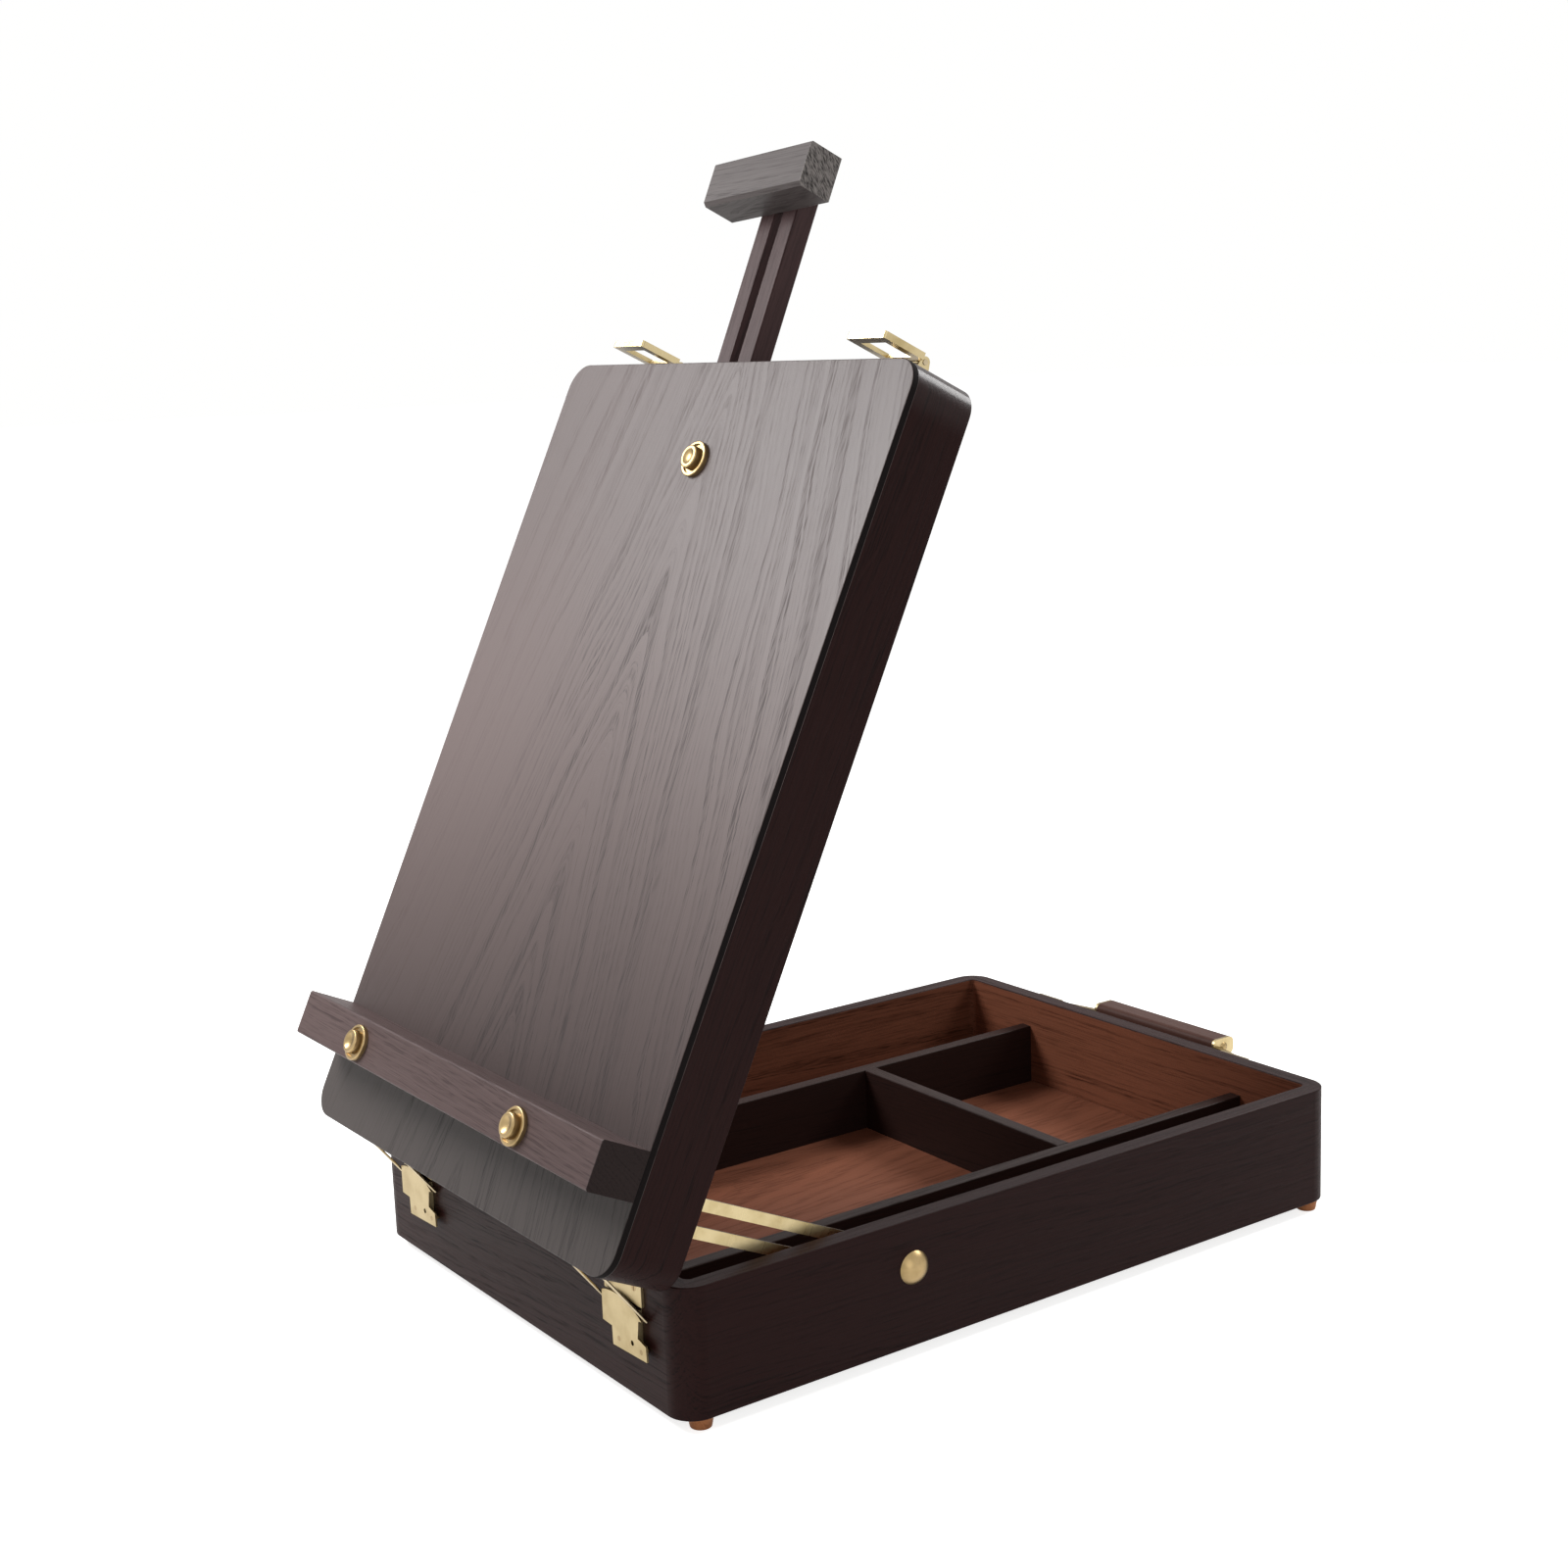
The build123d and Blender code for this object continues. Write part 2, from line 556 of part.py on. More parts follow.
panel = Pos((BOX_L - LID_LIP) / 2, MIDDLE_Y, LID_FRAME_H) * extrude(
    RectangleRounded(BOX_L + LID_LIP, BOX_W, CORNER_R), PANEL_T
)
panel = fillet(panel.edges().group_by(Axis.Z)[-1], PANEL_EDGE_R)
mast_bolt_hole = rod_z(MAST_BOLT_R + RUN, MAST_BOLT_X, MIDDLE_Y, 0, PANEL_OUT)
panel = panel - mast_bolt_hole
ledge_bolt_x = LEDGE_X + LEDGE_BOLT_IN
ledge_out = PANEL_OUT + LEDGE_D
ledge_holes = [
    rod_z(LEDGE_BOLT_R + RUN, ledge_bolt_x, y, 0, ledge_out) for y in LEDGE_BOLT_Y
]
panel = panel - ledge_holes[0] - ledge_holes[1]
keep("lid_panel", [panel], ON_LID)

batten_back = LID_FRAME_H - BATTEN_H
batten = block(
    LEDGE_X, LEDGE_X + LEDGE_W, BOARD_T, BOX_W - BOARD_T, batten_back, LID_FRAME_H
)
keep("lid_batten", [batten - ledge_holes[0] - ledge_holes[1]], ON_LID)

ledge = block(LEDGE_X, LEDGE_X + LEDGE_W, 0, BOX_W, PANEL_OUT, ledge_out)
ledge = fillet(ledge.edges().filter_by(Axis.Y).group_by(Axis.Z)[-1], EDGE_R)
keep("ledge", [ledge - ledge_holes[0] - ledge_holes[1]], ON_LID)


# Knobs, washers and bolts for the ledge and for the mast
def knob(bore_r):
    """A low round knob with a softened edge and a hollow in its top."""
    body = soft_top(Pos(0, 0, KNOB_H / 2) * Cylinder(KNOB_R, KNOB_H), KNOB_SOFT)
    ball_r = (KNOB_DISH_R ** 2 + KNOB_DISH_D ** 2) / (2 * KNOB_DISH_D)
    body = body - Pos(0, 0, KNOB_H + ball_r - KNOB_DISH_D) * Sphere(ball_r)
    return body - rod_z(bore_r + RUN, 0, 0, 0, KNOB_BORE)


def bolt(head_r, head_h, shank_r, start, end):
    """A round-headed bolt, head behind start, shank up to end."""
    head = Pos(0, 0, start) * Rot(180, 0, 0) * dome(head_r, head_h)
    return head + rod_z(shank_r, 0, 0, start, end)


knob_in = KNOB_BORE - GAP
ledge_places = [Pos(ledge_bolt_x, y, 0) for y in LEDGE_BOLT_Y]
ledge_bolt = bolt(
    LEDGE_HEAD_R, LEDGE_HEAD_H, LEDGE_BOLT_R, batten_back, ledge_out + FLANGE_FLOOR + knob_in
)
keep("ledge_bolts", [place * ledge_bolt for place in ledge_places], ON_LID)
ledge_washer = Pos(0, 0, ledge_out) * dished_washer(LEDGE_BOLT_R + RUN)
keep("ledge_washers", [place * ledge_washer for place in ledge_places], ON_LID)
for end, place in zip(("near", "far"), ledge_places):
    at = Pos(0, 0, ledge_out + FLANGE_FLOOR)
    keep("ledge_knob_" + end, [place * at * knob(LEDGE_BOLT_R)], ON_LID)

clamp_at = Pos(MAST_BOLT_X, MIDDLE_Y, 0)
clamp = bolt(
    MAST_BOLT_HEAD_R, MAST_BOLT_HEAD_H, MAST_BOLT_R,
    MAST_BACK - GAP, PANEL_OUT + FLANGE_FLOOR + knob_in,
)
keep("mast_bolt", [clamp_at * clamp], ON_LID)
mast_washer = Pos(0, 0, PANEL_OUT) * dished_washer(MAST_BOLT_R + RUN)
keep("mast_washer", [clamp_at * mast_washer], ON_LID)
mast_knob_at = clamp_at * Pos(0, 0, PANEL_OUT + FLANGE_FLOOR)
keep("mast_knob", [mast_knob_at * knob(MAST_BOLT_R)], ON_LID)

# Mast: a slotted rail, with a head block screwed to its front
mast = block(-MAST_BELOW, MAST_ABOVE, -MAST_W / 2, MAST_W / 2, MAST_BACK, MAST_FRONT)
slot_l = MAST_SLOT_ABOVE + MAST_SLOT_BELOW
slot_mid = (MAST_SLOT_ABOVE - MAST_SLOT_BELOW) / 2
mast = fillet(mast.edges().filter_by(Axis.X), RIM_R)
mast_slot = extrude(SlotOverall(slot_l, MAST_SLOT_W), MAST_T)
mast = mast - Pos(slot_mid, 0, MAST_BACK) * mast_slot
head_mid = MAST_ABOVE - HEAD_H / 2
head_screws = [Pos(head_mid, side * HEAD_SCREW_Y, MAST_BACK) * Rot(180, 0, 0) for side in (-1, 1)]
head_drill = flush_hole(length=HEAD_SCREW_LEN)
keep("mast", [drill(mast, head_screws, head_drill)], ON_LID * MAST_AT)
head = block(
    MAST_ABOVE - HEAD_H, MAST_ABOVE, -HEAD_L / 2, HEAD_L / 2, MAST_FRONT, MAST_FRONT + HEAD_T
)
lower_front = head.edges().filter_by(Axis.Y).group_by(Axis.Z)[-1].sort_by(Axis.X)[0]
head = chamfer(lower_front, HEAD_CHAMFER)
upper_front = head.edges().filter_by(Axis.Y).group_by(Axis.Z)[-1].sort_by(Axis.X)[-1]
head = fillet(upper_front, EDGE_R)
keep("mast_head", [drill(head, head_screws, head_drill)], ON_LID * MAST_AT)
head_screw = flush_screw(length=HEAD_SCREW_LEN)
keep("mast_head_screws", [place * head_screw for place in head_screws], ON_LID * MAST_AT)


# Hasps: bracket with two ears, pin, and a swinging frame
def ear(off, z, r, low, high, foot):
    """An ear in x and z: a tapered foot at x = foot running to a round tip."""
    tip = Pos(off, z) * Circle(r)
    body = make_face(Polyline((foot, low), (off, z - r), (off, z + r), (foot, high), close=True))
    return body + tip


def ears(off, z, r, low, high, inner, thick):
    flat = Plane.XZ * ear(off, z, r, low, high, 0)
    side_a = Pos(0, -inner, 0) * extrude(flat, thick)
    side_b = Pos(0, inner + thick, 0) * extrude(flat, thick)
    return side_a + side_b


bracket_half = HASP_EAR_IN + HASP_EAR_T
hasp_bracket = block(0, LEAF_T, -bracket_half, bracket_half, HASP_BRACKET_LOW, HASP_BRACKET_HIGH)
hasp_bracket = hasp_bracket + ears(
    HASP_PIN_OFF, HASP_PIN_Z, HASP_EAR_R,
    HASP_BRACKET_LOW + EAR_STEP, HASP_BRACKET_HIGH - EAR_STEP,
    HASP_EAR_IN, HASP_EAR_T,
)
hasp_bore = rod_y(HASP_PIN_R + RUN, HASP_PIN_OFF, HASP_PIN_Z, -HASP_HALF, HASP_HALF)
hasp_bracket = hasp_bracket - hasp_bore
hasp_pin = rod_y(HASP_PIN_R, HASP_PIN_OFF, HASP_PIN_Z, -bracket_half - GAP, bracket_half + GAP)
knuckle_half = HASP_EAR_IN - GAP
x_in = HASP_PIN_OFF - HASP_PLATE_T / 2
x_out = HASP_PIN_OFF + HASP_PLATE_T / 2
low = HASP_PIN_Z + HASP_START
high = HASP_PIN_Z + HASP_REACH
hasp = rod_y(HASP_KNUCKLE_R, HASP_PIN_OFF, HASP_PIN_Z, -knuckle_half, knuckle_half)
hasp = hasp + block(x_in, x_out, -knuckle_half, knuckle_half, HASP_PIN_Z, low + HASP_PLATE_T)
hasp = hasp + block(x_in, x_out + HASP_RIM, -HASP_HALF, HASP_HALF, low, high)
tray = block(
    x_out, x_out + HASP_RIM,
    -HASP_HALF + HASP_PLATE_T, HASP_HALF - HASP_PLATE_T, low, high - HASP_PLATE_T,
)
window = block(
    x_in, x_out, -HASP_WINDOW_HALF, HASP_WINDOW_HALF,
    HASP_PIN_Z + HASP_WINDOW_LOW, HASP_PIN_Z + HASP_WINDOW_HIGH,
)
hasp = hasp - tray - window - hasp_bore
hasp_outer = hasp.edges().filter_by(Axis.X).group_by(Axis.Z)[-1]
hasp = fillet(hasp_outer, HASP_PLATE_T)
at_end = [Pos(BOX_L, y, 0) for y in FITTING_Y]
for end, place in zip(("near", "far"), at_end):
    keep("hasp_bracket_" + end, [drill(place * hasp_bracket, hasp_screws, flush_hole())], ON_LID)
    keep("hasp_" + end, [place * hasp], ON_LID)
keep("hasp_pins", [place * hasp_pin for place in at_end], ON_LID)
keep("hasp_screws", [place * flush_screw() for place in hasp_screws], ON_LID)

# Catches on the box, hooked under by the hasps
catch = block(0, LEAF_T, -CATCH_HALF, CATCH_HALF, CATCH_LOW, CATCH_HIGH)
hook = [
    (0, CATCH_HOOK_LOW), (CATCH_OUT, CATCH_HOOK_LOW), (CATCH_OUT, CATCH_NOSE_Z), (0, CATCH_HIGH),
]
catch = catch + plate_xz(hook, -CATCH_HOOK_HALF, CATCH_HOOK_HALF)
for end, place in zip(("near", "far"), at_end):
    keep("catch_" + end, [drill(place * catch, catch_screws, flush_hole())])
keep("catch_screws", [place * flush_screw() for place in catch_screws])

# Handle: brackets and pins on the wall, arms, grip
handle_half = HANDLE_EAR_IN + HANDLE_EAR_T
rise = HANDLE_BRACKET_RISE
bracket = block(
    0, LEAF_T, -HANDLE_BRACKET_HALF, HANDLE_BRACKET_HALF, HANDLE_Z - rise, HANDLE_Z + rise
)
bracket = bracket + ears(
    HANDLE_PIVOT_OFF, HANDLE_Z, HANDLE_EAR_R,
    HANDLE_Z - rise + EAR_STEP, HANDLE_Z + rise - EAR_STEP,
    HANDLE_EAR_IN, HANDLE_EAR_T,
)
handle_bore = rod_y(HANDLE_PIN_R + RUN, HANDLE_PIVOT_OFF, HANDLE_Z, -handle_half, handle_half)
bracket = bracket - handle_bore
handle_pin = rod_y(
    HANDLE_PIN_R, HANDLE_PIVOT_OFF, HANDLE_Z, -handle_half - GAP, handle_half + GAP
)
handle_at = [Pos(BOX_L, y, 0) for y in HANDLE_PIVOT_Y]
brackets = [drill(place * bracket, bracket_screws, flush_hole()) for place in handle_at]
keep("handle_brackets", brackets)
keep("handle_pins", [place * handle_pin for place in handle_at])
keep("handle_screws", [place * flush_screw() for place in bracket_screws])

grip_x = BOX_L + GRIP_START
grip = block(
    grip_x, grip_x + GRIP_W, GRIP_Y[0], GRIP_Y[1], HANDLE_Z - GRIP_H / 2, HANDLE_Z + GRIP_H / 2
)
grip = fillet(grip.edges().filter_by(Axis.Y), GRIP_R)
cap_screw_x = grip_x + GRIP_W / 2
drill_end = GRIP_Y[0] + CAP_SCREW_LEN + GAP
cap_drill = rod_y(CAP_SCREW_R + RUN, cap_screw_x, HANDLE_Z, GRIP_Y[0] - CAP_T, drill_end)
mirror_plane = Plane.XZ.offset(-MIDDLE_Y)
grip = grip - cap_drill - mirror(cap_drill, mirror_plane)
keep("handle_grip", [grip])

cap = block(
    grip_x, grip_x + GRIP_W, GRIP_Y[0] - CAP_T, GRIP_Y[0], HANDLE_Z - GRIP_H / 2, HANDLE_Z + GRIP_H / 2
)
cap = fillet(cap.edges().filter_by(Axis.Y), GRIP_R)
neck_x = BOX_L + HANDLE_PIVOT_OFF + HANDLE_EAR_R + ARM_STEP
arm_y = HANDLE_PIVOT_Y[0]
arm_half = ARM_NECK / 2
arm_land = grip_x + GRIP_W / 2 - CAP_SCREW_HEAD_R - 2 * GAP
strap = [
    (BOX_L + HANDLE_PIVOT_OFF, arm_y - arm_half), (neck_x, arm_y - arm_half),
    (arm_land, GRIP_Y[0] - CAP_T / 2), (grip_x + ARM_STEP, GRIP_Y[0] - CAP_T / 2),
    (neck_x, arm_y + arm_half), (BOX_L + HANDLE_PIVOT_OFF, arm_y + arm_half),
]
arm = plate_xy(strap, HANDLE_Z - ARM_T / 2, HANDLE_Z + ARM_T / 2)
arm_knuckle_x = BOX_L + HANDLE_PIVOT_OFF
arm = arm + rod_y(
    HANDLE_KNUCKLE_R, arm_knuckle_x, HANDLE_Z, arm_y - HANDLE_KNUCKLE_HALF, arm_y + HANDLE_KNUCKLE_HALF
)
arm = arm + cap - Pos(BOX_L, arm_y, 0) * handle_bore - cap_drill
keep("handle_arm_near", [arm])
keep("handle_arm_far", [mirror(arm, mirror_plane)])
cap_screw = Rot(90, 0, 0) * dome(CAP_SCREW_HEAD_R, CAP_SCREW_HEAD_H)
cap_screw = Pos(cap_screw_x, GRIP_Y[0] - CAP_T, HANDLE_Z) * cap_screw
cap_screw = cap_screw + rod_y(
    CAP_SCREW_R, cap_screw_x, HANDLE_Z, GRIP_Y[0] - CAP_T, GRIP_Y[0] + CAP_SCREW_LEN
)
keep("handle_cap_screws", [cap_screw, mirror(cap_screw, mirror_plane)])

# Everything moves together: the middle of the whole object comes over the origin,
# and the feet stand on z = 0
boxes = [solid.bounding_box() for solids in pieces.values() for solid in solids]
mid_x = (min(box.min.X for box in boxes) + max(box.max.X for box in boxes)) / 2
mid_y = (min(box.min.Y for box in boxes) + max(box.max.Y for box in boxes)) / 2
STAND = Pos(-mid_x, -mid_y, FOOT_SHOW)
print("middle of the object in the bench frame:", mid_x, mid_y)
for name, solids in pieces.items():
    placed = [STAND * solid for solid in solids]
    whole = placed[0] if len(placed) == 1 else Compound(children=placed)
    export_step(whole, "parts/" + name + ".step")
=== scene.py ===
# %% [markdown]
# A pochade box is a shallow wooden paint box whose lid stands up as a painting panel.
# The solid parts come ready made from the CAD model. This lesson dresses them: stained
# and open-grained wood, pressed and turned brass, and a plain studio to look at them in.
# The parts are loaded first, because every size and place below is read from them.

# %% Load the parts
import json
import math

import bpy
from mathutils import Matrix, Vector


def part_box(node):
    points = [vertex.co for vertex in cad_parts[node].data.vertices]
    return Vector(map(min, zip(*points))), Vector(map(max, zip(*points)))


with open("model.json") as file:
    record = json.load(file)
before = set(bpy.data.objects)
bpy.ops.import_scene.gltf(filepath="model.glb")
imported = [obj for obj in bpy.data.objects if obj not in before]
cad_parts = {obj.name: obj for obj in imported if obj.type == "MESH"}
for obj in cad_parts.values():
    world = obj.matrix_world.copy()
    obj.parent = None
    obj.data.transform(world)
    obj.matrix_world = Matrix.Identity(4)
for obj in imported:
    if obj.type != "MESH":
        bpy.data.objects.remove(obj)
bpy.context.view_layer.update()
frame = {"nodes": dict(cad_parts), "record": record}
nodes = frame["nodes"]
MM = 0.001

# %% [markdown]
# Wood looks right only when its grain runs along each board, also on the boards of the
# open lid, which are tilted, and on the mast, which also leans. So three small frames
# are worked out here: the box, the lid and the mast. Each material measures its grain
# in one of them, in metres, from the middle of the box or the hinge corner of the lid.

# %% Frames that the grain follows
record = frame["record"]
joints = {joint["name"]: joint for joint in record["behaviour"]["joints"]}
west, foot_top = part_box("base_wall_hinge")[0][0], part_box("base_wall_hinge")[0][2]
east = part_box("base_wall_handle")[1][0]
south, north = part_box("base_wall_near")[0][1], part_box("base_wall_far")[1][1]
wall_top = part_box("base_wall_near")[1][2]
BOX_L, BOX_W, WALL_T = east - west, north - south, 9 * MM
bench = Vector((west, south, foot_top))
middle = Vector(((west + east) / 2, (south + north) / 2, foot_top))
hinge = Vector(joints["lid_hinge"]["pos_m"])
hinge.y = south
LID_OPEN = math.radians(-joints["lid_hinge"]["range_deg"][0])
lid_turn = Matrix.Rotation(-LID_OPEN, 4, "Y")
shut_corner = Vector((west, south, 2 * hinge.z - wall_top))
lid_corner = hinge + lid_turn @ (shut_corner - hinge)
mast_bolt = Vector(joints["mast_lean"]["pos_m"])
mast_along = Vector(joints["mast_slide"]["axis"])
lid_up = Vector(joints["mast_lean"]["axis"])
mast_turn = Matrix((mast_along, lid_up.cross(mast_along), lid_up)).transposed().to_4x4()
box_frame = (middle, Matrix.Identity(4))
lid_frame = (lid_corner, lid_turn)
mast_frame = (mast_bolt, mast_turn)
print("box", [round(size / MM, 1) for size in (BOX_L, BOX_W)], "mm, lid open",
      round(math.degrees(LID_OPEN), 1), "degrees, lid corner at", [round(c / MM, 1) for c in lid_corner])

# %% [markdown]
# Materials are made of nodes, and a few helpers keep each recipe short enough to read.
# They only join sockets: one adds a node, one does arithmetic, one blends two colours.

# %% Helpers for joining nodes
def feed(tree, socket, value):
    """Joins a socket to another one, or sets its plain value."""
    if isinstance(value, bpy.types.NodeSocket):
        tree.links.new(value, socket)
    elif value is not None:
        socket.default_value = value


def add(tree, kind, values=(), **settings):
    """Adds a node; values go into its sockets, settings are its own choices."""
    made = tree.nodes.new(kind)
    for name, setting in settings.items():
        setattr(made, name, setting)
    for place, value in dict(values).items():
        feed(tree, made.inputs[place], value)
    return made


def sum_of(tree, operation, a, b=None, c=None, clamp=False):
    """One step of arithmetic on up to three values."""
    made = add(tree, "ShaderNodeMath", operation=operation, use_clamp=clamp)
    for place, value in enumerate((a, b, c)):
        feed(tree, made.inputs[place], value)
    return made.outputs[0]


def blend_colour(tree, amount, a, b, way="MIX"):
    """Colour a where the amount is 0, and colour b where it is 1."""
    made = add(tree, "ShaderNodeMix", data_type="RGBA", blend_type=way)
    feed(tree, made.inputs[0], amount)
    feed(tree, made.inputs[6], a)
    feed(tree, made.inputs[7], b)
    return made.outputs[2]


def step_up(tree, value, low, high):
    """0 below low, 1 above high, smooth between them."""
    made = add(tree, "ShaderNodeMapRange", interpolation_type="SMOOTHSTEP")
    for place, number in zip(("Value", "From Min", "From Max"), (value, low, high)):
        feed(tree, made.inputs[place], number)
    return made.outputs["Result"]


def group(name, inputs, outputs):
    """An empty node group with the named sockets; returns it with its two ends."""
    tree = bpy.data.node_groups.new(name, "ShaderNodeTree")
    for label, kind, value in inputs:
        socket = tree.interface.new_socket(label, in_out="INPUT", socket_type=kind)
        if value is not None:
            socket.default_value = value
    for label, kind in outputs:
        tree.interface.new_socket(label, in_out="OUTPUT", socket_type=kind)
    return tree, tree.nodes.new("NodeGroupInput"), tree.nodes.new("NodeGroupOutput")


def use(tree, made, **values):
    """Places a node group in a tree; an underscore in a name stands for a space."""
    placed = add(tree, "ShaderNodeGroup", node_tree=made)
    for name, value in values.items():
        feed(tree, placed.inputs[name.replace("_", " ")], value)
    return placed


FLOAT, VECTOR = "NodeSocketFloat", "NodeSocketVector"

# %% [markdown]
# Flat-sawn wood shows growth rings cut at a slant: straight lines near the edges and
# nested arches in the middle. A ring is all the places at one distance from the heart
# of the tree, and the tree tapers, so distance from the heart plus a little of the
# length gives the arches. This formula needs no picture, and it works on every face.
# Pores are short dashes along the board. They crowd in the dark part of each ring, which
# gives the arches their feathered edges, and finer ones run through the rest.

# %% The grain, shared by every wood
grain, grain_in, grain_out = group(
    "sawn grain",
    [("Vector", VECTOR, None), ("Heart Across", FLOAT, 0.0), ("Heart Depth", FLOAT, 0.03),
     ("Taper", FLOAT, 0.05), ("Ring Width", FLOAT, 0.004), ("Wander", FLOAT, 0.004),
     ("Pin Lines", FLOAT, 0.28), ("Loose Dashes", FLOAT, 0.12)],
    [("Rings", FLOAT), ("Fibres", FLOAT), ("Clouds", FLOAT), ("Height", FLOAT)],
)
given = grain_in.outputs


def noise_along(stretch, detail, **places):
    """Noise of the board's coordinates, stretched by one factor for each direction."""
    scaled = add(grain, "ShaderNodeMapping", {"Vector": given["Vector"], "Scale": stretch})
    made = add(grain, "ShaderNodeTexNoise", {"Vector": scaled.outputs[0], "Scale": 1.0, "Detail": detail})
    return made.outputs["Fac"]


def centred(value, amount):
    return sum_of(grain, "MULTIPLY", sum_of(grain, "SUBTRACT", value, 0.5), amount)


apart = add(grain, "ShaderNodeSeparateXYZ", {"Vector": given["Vector"]}).outputs
across = sum_of(grain, "SUBTRACT", apart["Y"], given["Heart Across"])
down = sum_of(grain, "ADD", apart["Z"], given["Heart Depth"])
squares = sum_of(grain, "MULTIPLY_ADD", across, across, sum_of(grain, "MULTIPLY", down, down))
slanted = sum_of(grain, "MULTIPLY_ADD", apart["X"], given["Taper"], sum_of(grain, "SQRT", squares))
wander = sum_of(grain, "MULTIPLY", centred(noise_along((5, 22, 22), 2.5), 4.0), given["Wander"])
ripple = centred(noise_along((30, 120, 120), 2.0), 0.0014)
place = sum_of(grain, "ADD", slanted, sum_of(grain, "ADD", wander, ripple))
years = add(grain, "ShaderNodeTexNoise", {"W": sum_of(grain, "MULTIPLY", place, 70.0), "Detail": 2.0},
            noise_dimensions="1D")
place = sum_of(grain, "ADD", place, centred(years.outputs["Fac"], 0.02))
count = sum_of(grain, "DIVIDE", place, given["Ring Width"])
turns = sum_of(grain, "FRACT", count)
each = add(grain, "ShaderNodeTexWhiteNoise", {"W": sum_of(grain, "FLOOR", count)}, noise_dimensions="1D")
strength = sum_of(grain, "MULTIPLY_ADD", each.outputs["Value"], 0.9, 0.1)
band = sum_of(grain, "MULTIPLY", step_up(grain, turns, 0.0, 0.12), step_up(grain, turns, 0.75, 0.2))
band = sum_of(grain, "MULTIPLY", band, strength)
thin = add(grain, "ShaderNodeTexNoise", {"W": sum_of(grain, "MULTIPLY", place, 620.0), "Detail": 1.0},
           noise_dimensions="1D")
thin_lines = step_up(grain, thin.outputs["Fac"], 0.5, 0.68)
dashes = step_up(grain, noise_along((70, 1100, 1100), 1.5), 0.46, 0.62)
fibres = noise_along((22, 900, 900), 3.0)
feathered = sum_of(grain, "MULTIPLY", band, sum_of(grain, "MULTIPLY_ADD", dashes, 0.65, 0.35))
loose = sum_of(grain, "MULTIPLY", dashes, given["Loose Dashes"])
fine_lines = sum_of(grain, "MULTIPLY_ADD", thin_lines, given["Pin Lines"], loose)
rings = sum_of(grain, "ADD", feathered, fine_lines, clamp=True)
height = sum_of(grain, "MULTIPLY_ADD", rings, -0.8, sum_of(grain, "MULTIPLY", fibres, 0.5))
for name, value in zip(("Rings", "Fibres", "Clouds", "Height"),
                       (rings, fibres, noise_along((3, 13, 13), 3.0), height)):
    feed(grain, grain_out.inputs[name], value)
print("grain group sockets:", [item.name for item in grain.interface.items_tree])

# %% [markdown]
# The same stained board can be seen many ways, so one recipe makes them all. It takes
# the frame the board lies in, the way its grain runs, and two stains: one for the light
# wood and one for the dark rings. Roughness follows the grain, because pores stay matt
# while the lacquer on the hard wood between them shines.

# %% A recipe for stained boards
HAND_POLISH, LACQUER_ROUGH, PORE_DEPTH = 0.2, 0.2, 0.3 * MM


def placed_in(tree, where, along="X"):
    """Object coordinates measured in a frame, with the grain direction put first."""
    origin, turn = where
    coords = add(tree, "ShaderNodeTexCoord")
    mapped = add(tree, "ShaderNodeMapping", {
        "Vector": coords.outputs["Object"], "Location": origin,
        "Rotation": turn.to_euler()}, vector_type="TEXTURE").outputs[0]
    if along == "X":
        return mapped, mapped
    apart = add(tree, "ShaderNodeSeparateXYZ", {"Vector": mapped}).outputs
    order = (apart["Y"], apart["X"], apart["Z"])
    return mapped, add(tree, "ShaderNodeCombineXYZ", dict(enumerate(order))).outputs[0]


